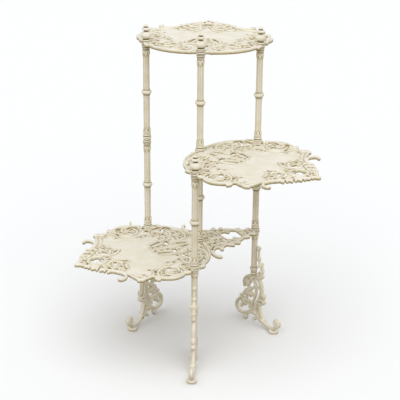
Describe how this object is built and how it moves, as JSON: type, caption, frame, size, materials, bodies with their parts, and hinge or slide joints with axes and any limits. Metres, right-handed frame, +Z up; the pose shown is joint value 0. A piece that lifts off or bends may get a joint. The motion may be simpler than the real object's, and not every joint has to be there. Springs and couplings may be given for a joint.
{
  "type": "tiered plant stand",
  "caption": "Tall cast iron plant stand: pierced scrollwork shelves turn about a centre column, on beaded columns with finials and scrolled legs.",
  "frame": {"origin": "middle of the footprint, on the floor", "axes": "+Z up along the columns; the front leg points to -Y and the top shelf to +Y; +X is the right side seen from the front"},
  "size_m": [0.7284, 0.7444, 0.994],
  "materials": {
    "painted_iron": "cream brush-painted cast iron, with brown dirt in the hollows",
    "steel": "plain drawn steel, darkened"
  },
  "bodies": {
    "root": {"bottom_shelf": "painted_iron", "middle_shelf": "painted_iron", "top_shelf": "painted_iron", "stretcher": "painted_iron", "front_leg": "painted_iron", "left_leg": "painted_iron", "right_leg": "painted_iron", "front_post": "painted_iron", "left_post": "painted_iron", "right_post": "painted_iron", "front_section": "painted_iron", "left_lower_section": "painted_iron", "left_upper_section": "painted_iron", "centre_lower_section": "painted_iron", "centre_upper_section": "painted_iron", "right_lower_section": "painted_iron", "right_upper_section": "painted_iron", "left_collar": "painted_iron", "front_finial": "painted_iron", "left_finial": "painted_iron", "centre_finial": "painted_iron", "right_finial": "painted_iron", "front_rod": "steel", "left_rod": "steel", "centre_rod": "steel", "right_rod": "steel", "centre_washer": "steel", "centre_nut": "steel"}
  },
  "joints": []
}
